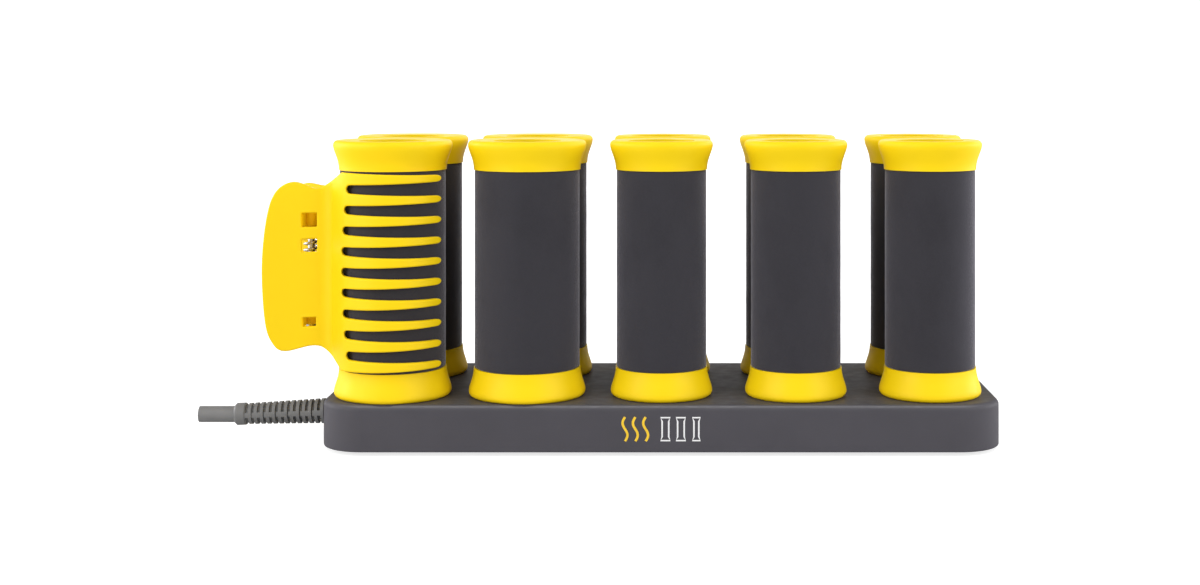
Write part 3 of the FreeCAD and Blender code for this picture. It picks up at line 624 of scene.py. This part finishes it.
def flat_plate(name, loops, thickness, edge):
    """A flat plate with holes and rounded edges: the first loop is its outline."""
    curve = bpy.data.curves.new(name, "CURVE")
    curve.dimensions, curve.fill_mode = "2D", "BOTH"
    curve.extrude, curve.bevel_depth = thickness / 2 - edge, edge
    curve.bevel_resolution, curve.offset = 2, -edge
    for loop in loops:
        spline = curve.splines.new("POLY")
        spline.points.add(len(loop) - 1)
        for point, at in zip(spline.points, loop):
            point.co = (at[0], at[1], 0, 1)
        spline.use_cyclic_u = True
    holder = bpy.data.objects.new(name, curve)
    scene.collection.objects.link(holder)
    bpy.context.view_layer.update()
    made = holder.evaluated_get(bpy.context.evaluated_depsgraph_get())
    mesh = bpy.data.meshes.new_from_object(made)
    bpy.data.objects.remove(holder)
    bm = bmesh.new()
    bm.from_mesh(mesh)
    bmesh.ops.remove_doubles(bm, verts=bm.verts, dist=0.002 * MM)
    return bm, mesh


def pressed_jaw(name, jaw, windows):
    """Cuts the flat layout into strips and presses them onto the plan line."""
    bm, mesh = flat_plate(name, [jaw_outline(jaw)] + windows, CLIP_T, CLIP_EDGE)
    for x in jaw.cuts():
        every = bm.verts[:] + bm.edges[:] + bm.faces[:]
        bmesh.ops.bisect_plane(bm, geom=every, dist=1e-7, plane_co=(x, 0, 0), plane_no=(1, 0, 0))
    for v in bm.verts:
        v.co = jaw.place(*v.co)
    bmesh.ops.dissolve_degenerate(bm, edges=bm.edges, dist=0.001 * MM)
    bm.to_mesh(mesh)
    bm.free()
    tidy_normals(mesh, sharp_angle=38)
    return mesh


def knuckle(name, jaw, hinge, window_x, z, height, window, body):
    """A pierced barrel on the hinge axis, held to the wing by a cheek on each side of its window."""
    z0, z1 = z - height / 2, z + height / 2
    profile = [(BORE_R, z0), (BARREL_R - BARREL_EDGE, z0), (BARREL_R, z0 + BARREL_EDGE)]
    profile += [(BARREL_R, z1 - BARREL_EDGE), (BARREL_R - BARREL_EDGE, z1), (BORE_R, z1)]
    mesh = lathe(name + "_barrel", profile, hinge, 48)
    new_object(name + "_barrel", mesh, "yellow_plastic", body)
    for k, (x0, x1) in enumerate(((-LUG_W / 2, -window / 2), (window / 2, LUG_W / 2))):
        rows = []
        for x in (window_x + x0, window_x + x1):
            sheet = jaw.drawn(x, 0).y
            near = max(-CHEEK_REACH, -CHEEK_TAPER * abs(jaw.centre.x + x - hinge.x))
            rows.append([(jaw.centre.x + x, jaw.centre.y - jaw.side * y) for y in (near, sheet)])
        corners = [rows[0][0], rows[1][0], rows[1][1], rows[0][1]]
        verts = [(*c, z0) for c in corners] + [(*c, z1) for c in corners]
        faces = [(3, 2, 1, 0), (4, 5, 6, 7), (0, 1, 5, 4), (1, 2, 6, 5), (2, 3, 7, 6), (3, 0, 4, 7)]
        cheek = mesh_from("%s_cheek_%d" % (name, k + 1), verts, faces)
        piece = new_object(cheek.name, cheek, "yellow_plastic", body)
        soften = piece.modifiers.new("soft_edges", "BEVEL")
        soften.width, soften.segments = CHEEK_EDGE, 2


def claw_clip():
    hinge = Vector(JOINTS["clip_open"]["pos_m"])
    for which, body in (("front", "clip_front"), ("rear", CLIP_ROLLER)):
        jaw = Jaw(which)
        window_x = hinge.x - jaw.centre.x + WINDOW_SHIFT
        windows = []
        for z, height, width in KNUCKLES[which]:
            half = (height / 2 - WINDOW_SHORT) * MM
            windows.append(wing_window(window_x, z * MM - half, z * MM + half, width / 2 * MM))
        if which == "front":
            windows.append(wing_window(window_x, *SPRING_WINDOW))
        name = "clip_%s_sheet" % which
        mesh = pressed_jaw(name, jaw, windows)
        piece = new_object(name, mesh, "yellow_plastic", body)
        piece.modifiers.new("even_shading", "WEIGHTED_NORMAL").keep_sharp = True
        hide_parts("clip_%s_jaw" % which)
        for i, (z, height, width) in enumerate(KNUCKLES[which]):
            label = "clip_%s_knuckle_%d" % (which, i + 1)
            knuckle(label, jaw, hinge, window_x, z * MM, height * MM, width * MM, body)
    clip_spring(hinge)


def clip_spring(hinge):
    """The coil and its rear leg stay with the rear jaw; the front leg follows the front jaw."""
    low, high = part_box("clip_spring")
    bottom = low.z + SPRING_WIRE_R
    lean = math.radians(WING_SPLAY + SPRING_LEAN)
    lead = math.pi / 2 - lean
    turn = 2 * math.pi * SPRING_WINDINGS + 2 * lead
    rise = high.z - low.z - 2 * SPRING_WIRE_R
    coil = []
    for i in range(SPRING_STEPS + 1):
        a = -lead + turn * i / SPRING_STEPS
        out = Vector((math.cos(a), math.sin(a))) * SPRING_R
        coil.append(Vector((hinge.x + out.x, hinge.y + out.y, bottom + rise * i / SPRING_STEPS)))
    rear_leg = coil[-1] + Vector((-math.cos(lean), math.sin(lean), 0)) * SPRING_LEG
    front_leg = coil[0] + Vector((-math.cos(lean), -math.sin(lean), 0)) * SPRING_LEG
    mesh = swept("clip_spring_coil", coil + [rear_leg], SPRING_WIRE_R)
    piece = new_object("clip_spring_coil", mesh, "steel", CLIP_ROLLER)
    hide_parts("clip_spring")
    mesh = swept("clip_spring_front_leg", [front_leg, coil[0]], SPRING_WIRE_R)
    new_object("clip_spring_front_leg", mesh, "steel", "clip_front")


# ------------------------------------------------------------------ printed marks

def face_of(node, toward):
    """A function that gives a node's surface y at (x, z), looking along Y from one side."""
    mesh = nodes[node].data
    tree = BVHTree.FromPolygons([v.co for v in mesh.vertices], [p.vertices for p in mesh.polygons])

    def at(x, z):
        return tree.ray_cast(Vector((x, -toward, z)), Vector((0, toward, 0)))[0].y

    return at


def print_line(name, path, width, material, where, closed=False):
    """A printed line that follows a face: (x, z) points, and the face's y at each place."""
    face_y, body, slot = where
    count = len(path)
    sides = []
    for i in range(count):
        if closed:
            a, b = path[i - 1], path[(i + 1) % count]
        else:
            a, b = path[max(i - 1, 0)], path[min(i + 1, count - 1)]
        ahead = (b - a).normalized()
        sides.append(Vector((-ahead.y, ahead.x)) * width / 2)
    verts, faces = [], []
    for p, s in zip(path, sides):
        for edge in (p + s, p - s):
            y = face_y(edge.x, edge.y)
            verts += [(edge.x, y - PRINT_T, edge.y), (edge.x, y + PRINT_T, edge.y)]
    for i in range(count if closed else count - 1):
        a, b = 4 * i, 4 * ((i + 1) % count)
        faces += [(a, a + 2, b + 2, b), (a + 1, b + 1, b + 3, a + 3)]
        faces += [(a, b, b + 1, a + 1), (a + 2, a + 3, b + 3, b + 2)]
    if not closed:
        last = 4 * (count - 1)
        faces += [(0, 1, 3, 2), (last, last + 2, last + 3, last + 1)]
    new_object(name, mesh_from(name, verts, faces), material, body)


def wave_line(x, z_mid):
    """One rising heat wave."""
    line = []
    for k in range(WAVE_STEPS + 1):
        t = k / WAVE_STEPS
        swing = WAVE_SWING * MM * math.sin(2 * math.pi * t)
        line.append(Vector((x + swing, z_mid + (t - 0.5) * WAVE_TALL * MM)))
    return line


def roller_outline(x, z_mid, half_w):
    """A roller seen from the side: a waist between two flared ends."""
    inward, down = OUTLINE_WAIST
    loop = []
    for sx, sz in ((1, -1), (1, 1), (-1, 1), (-1, -1)):
        corner = (x + sx * half_w * MM, z_mid + sz * OUTLINE_HALF_H * MM)
        waist = (x + sx * (half_w - inward) * MM, z_mid + sz * (OUTLINE_HALF_H - down) * MM)
        loop += [waist, corner] if sx * sz > 0 else [corner, waist]
    return [Vector(p) for p in loop]


def pictogram():
    """A generic mark in place of lettering: rising heat waves beside a row of rollers."""
    low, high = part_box("base_upper_shell")
    z_mid = (low.z + high.z) / 2
    where = (face_of("base_upper_shell", 1), "base", "case_plastic")
    for i in range(3):
        line = wave_line((WAVES_X + WAVE_PITCH * i) * MM, z_mid)
        print_line("front_mark_wave_%d" % (i + 1), line, WAVE_LINE * MM, "print_yellow", where)
    for i, half_w in enumerate(OUTLINE_HALF_W):
        loop = roller_outline((OUTLINES_X + OUTLINE_PITCH * i) * MM, z_mid, half_w)
        name = "front_mark_roller_%d" % (i + 1)
        print_line(name, loop, OUTLINE_LINE * MM, "print_white", where, closed=True)


def switch_marks():
    """A bar at the rocker's on end and a ring at its off end, as any mains switch has."""
    low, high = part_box("power_switch_rocker")
    x, z = (low.x + high.x) / 2, (low.z + high.z) / 2
    where = (face_of("power_switch_rocker", -1), "switch_rocker", "switch_black")
    on_x, off_x = x + SWITCH_MARK_X * MM, x - SWITCH_MARK_X * MM
    bar = [Vector((on_x, z + (k / 4 - 0.5) * SWITCH_BAR * MM)) for k in range(5)]
    ring = [Vector(p) for p in arc_points(off_x, z, SWITCH_RING_R * MM, 0, 360, 28)][:-1]
    print_line("switch_mark_on", bar, SWITCH_LINE * MM, "print_white", where)
    print_line("switch_mark_off", ring, SWITCH_LINE * MM, "print_white", where, closed=True)


# ------------------------------------------------------------------ cord end

def cord_end():
    """The cut end of the cord: two insulated cores with copper inside."""
    low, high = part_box("power_cord")
    middle = (low.y + high.y) / 2
    axis_z = low.z + (high.y - low.y) / 2
    for wire, side, colour in (("live", -1, "core_brown"), ("neutral", 1, "core_blue")):
        y = middle + side * CORE_OFF_AXIS
        for part, (proud, r, sides) in CORE_PARTS.items():
            name = "cord_%s_%s" % (part, wire)
            path = [Vector((low.x - proud, y, axis_z)), Vector((low.x + CORE_INSIDE, y, axis_z))]
            finish = colour if part == "core" else "copper"
            new_object(name, swept(name, path, r, sides), finish, "base")


# ------------------------------------------------------------------ stage, light and camera

def studio():
    """A white sweep: a floor that curves up into a wall behind the object."""
    wide, front, back, bend, tall = 4.0, -2.2, 1.6, 0.6, 2.6
    profile = [(front, 0), (back - bend, 0)]
    for i in range(1, 13):
        a = math.pi / 2 * i / 12
        profile.append((back - bend + bend * math.sin(a), bend - bend * math.cos(a)))
    profile.append((back, tall))
    verts = [(sx * wide / 2, y, z) for y, z in profile for sx in (-1, 1)]
    faces = [(2 * i, 2 * i + 1, 2 * i + 3, 2 * i + 2) for i in range(len(profile) - 1)]
    mesh = mesh_from("studio_sweep", verts, faces, sharp_angle=60)
    floor = bpy.data.objects.new("studio_sweep", mesh)
    scene.collection.objects.link(floor)
    white = Finish("studio_white", (0.55, 0.55, 0.55), 0.9)
    white.set("Specular IOR Level", 0).set("Emission Color", (1, 1, 1, 1))
    glow = white.ranged(white.node("ShaderNodeLightPath").outputs["Is Camera Ray"], 0, 0.75, 0, 1)
    white.link(glow, white.surface.inputs["Emission Strength"])
    mesh.materials.append(white.material)


def area_light(name, target):
    place, size, power = LIGHTS[name]
    data = bpy.data.lights.new(name, "AREA")
    data.shape, data.size, data.size_y = "RECTANGLE", size[0], size[1]
    data.energy = power
    light = bpy.data.objects.new(name, data)
    light.visible_camera = False
    scene.collection.objects.link(light)
    light.location = place
    light.rotation_euler = (Vector(target) - Vector(place)).to_track_quat("-Z", "Y").to_euler()
    return light


def link_light(light, state):
    """Keeps a light off the base's upper case (EXCLUDE), or on it alone (INCLUDE)."""
    group = bpy.data.collections.new(light.name + "_light_group")
    group.objects.link(nodes["base_upper_shell"])
    light.light_linking.receiver_collection = group
    group.collection_objects[0].light_linking.link_state = state


def lights():
    """Soft boxes all round, and a strip that only glints on the base's front edge."""
    for name in LIGHTS:
        light = area_light(name, EDGE_AIM if name == "edge" else AIM)
        if name in KEPT_OFF_BASE:
            link_light(light, "EXCLUDE")
        if name == "edge":
            light.visible_diffuse = False
            link_light(light, "INCLUDE")


def surroundings():
    """White where the camera looks past the stage, and dimmer as a light."""
    world = bpy.data.worlds.new("studio_world")
    scene.world = world
    world.use_nodes = True
    tree = world.node_tree
    background = tree.nodes["Background"].inputs
    background["Color"].default_value = (1, 1, 1, 1)
    seen = tree.nodes.new("ShaderNodeMapRange")
    seen.inputs["To Min"].default_value = AMBIENT
    ray = tree.nodes.new("ShaderNodeLightPath").outputs["Is Camera Ray"]
    tree.links.new(ray, seen.inputs["Value"])
    tree.links.new(seen.outputs["Result"], background["Strength"])
    scene.view_settings.view_transform = "Standard"


def camera():
    """A level camera. Its lens is shifted only at its own place, so that other views aren't."""
    data = bpy.data.cameras.new("camera")
    data.sensor_width, data.lens = 36.0, LENS
    cam = bpy.data.objects.new("camera", data)
    scene.collection.objects.link(cam)
    cam.location = EYE
    cam.rotation_euler = (math.pi / 2, 0, 0)
    data.clip_start, data.clip_end = 0.01, 20
    scene.camera = cam
    for channel, shift in zip(("shift_x", "shift_y"), LENS_SHIFT):
        driver = data.driver_add(channel).driver
        driver.type = "SCRIPTED"
        for name, path in (("x", "location.x"), ("y", "location.y")):
            value = driver.variables.new()
            value.name = name
            value.targets[0].id = cam
            value.targets[0].data_path = path
        here = "abs(x - %.4f) < 0.0005 and abs(y + %.4f) < 0.0005" % (EYE[0], -EYE[1])
        driver.expression = "%.4f if %s else 0.0" % (shift, here)


dress_cad_nodes()
flocked_sleeves()
claw_clip()
pictogram()
switch_marks()
cord_end()
studio()
lights()
surroundings()
camera()
